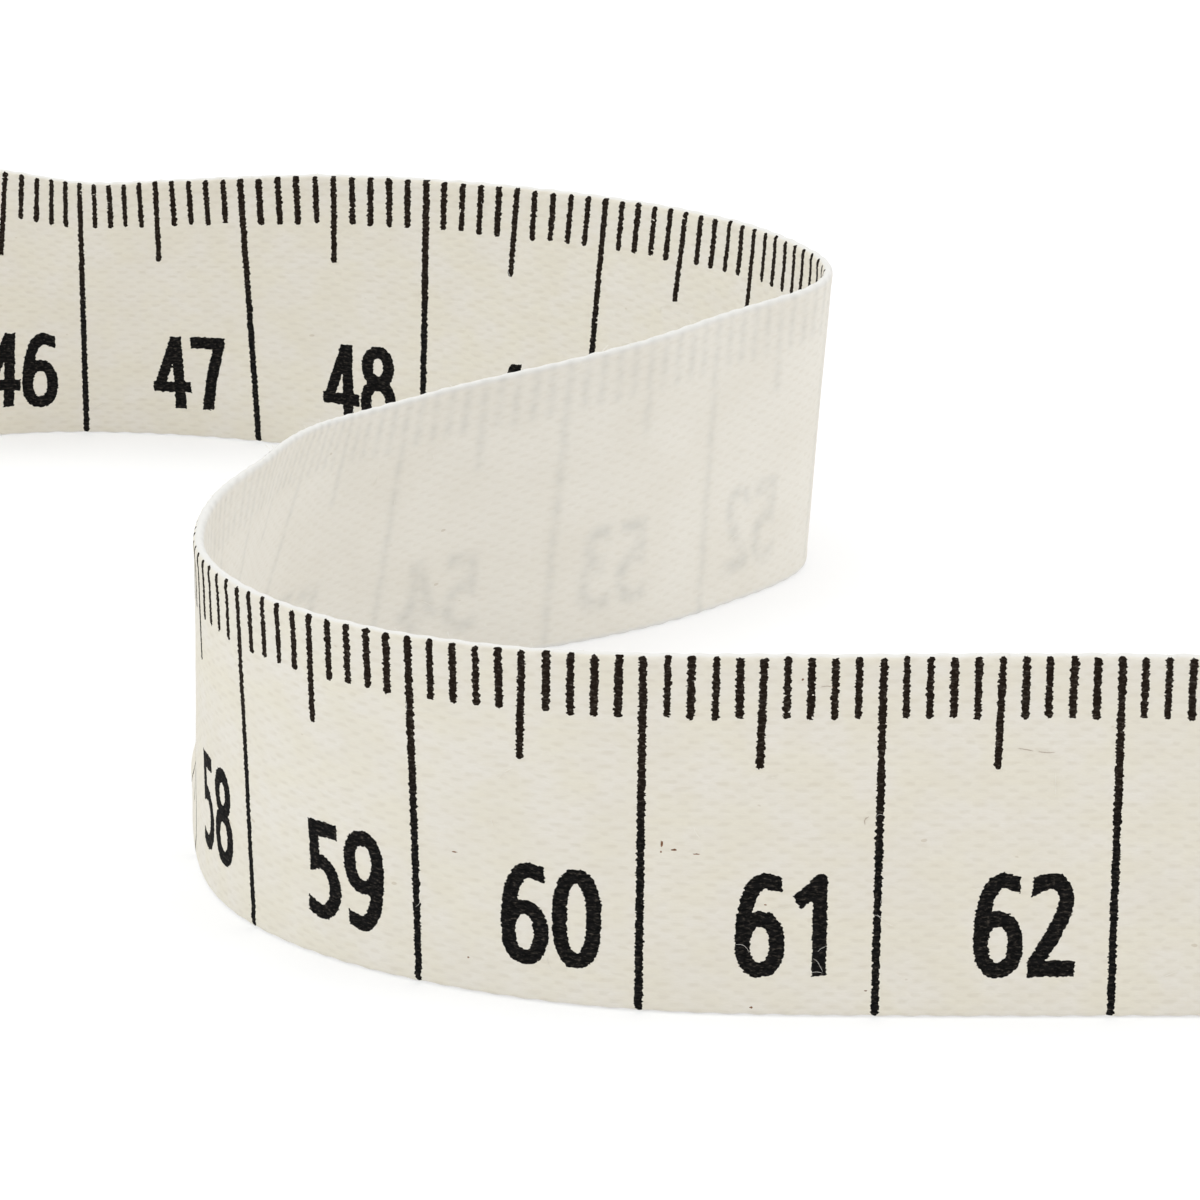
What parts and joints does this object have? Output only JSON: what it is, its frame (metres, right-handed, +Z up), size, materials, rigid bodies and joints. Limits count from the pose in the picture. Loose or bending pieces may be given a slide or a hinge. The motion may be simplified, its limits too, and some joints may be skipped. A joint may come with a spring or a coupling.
{
  "type": "cloth tape measure",
  "caption": "Cloth tape measure: a woven cotton band with a printed centimetre scale, standing on edge in an S-curve, its ends rolled up and closed with folded metal tips.",
  "frame": {"origin": "under the middle of the object's box, on the surface that the band stands on", "axes": "+X along the front run towards the end roll, +Y from the front run to the back run, +Z up, across the width of the band"},
  "size_m": [0.1328, 0.1108, 0.016],
  "materials": {
    "cotton_band": "matt unbleached cotton, finely ribbed weave, black print on one face",
    "metal_tip": "thin folded brass sheet, lightly worn satin",
    "metal_eyelet": "rolled brass, polished on the rim"
  },
  "bodies": {
    "middle_run": {"tape_middle_run": "cotton_band"},
    "back_run": {"tape_back_run": "cotton_band"},
    "start_roll": {"tape_start_roll": "cotton_band", "start_tip": "metal_tip", "start_tip_eyelet": "metal_eyelet"},
    "front_run": {"tape_front_run": "cotton_band"},
    "end_roll": {"tape_end_roll": "cotton_band", "end_tip": "metal_tip", "end_tip_eyelet": "metal_eyelet"}
  },
  "joints": [
    {"name": "right_bend", "type": "hinge", "parent": "middle_run", "child": "back_run", "pos_m": [0.01234, 0.01216, 0.008], "axis": [0, 0, 1], "range_deg": [-45, 25]},
    {"name": "start_roll_flex", "type": "hinge", "parent": "back_run", "child": "start_roll", "pos_m": [-0.03658, 0.03353, 0.008], "axis": [0, 0, 1], "range_deg": [-30, 40]},
    {"name": "left_bend", "type": "hinge", "parent": "middle_run", "child": "front_run", "pos_m": [-0.0149, -0.04307, 0.008], "axis": [0, 0, 1], "range_deg": [-45, 25]},
    {"name": "end_roll_flex", "type": "hinge", "parent": "front_run", "child": "end_roll", "pos_m": [0.0371, -0.05464, 0.008], "axis": [0, 0, 1], "range_deg": [-40, 40]}
  ]
}
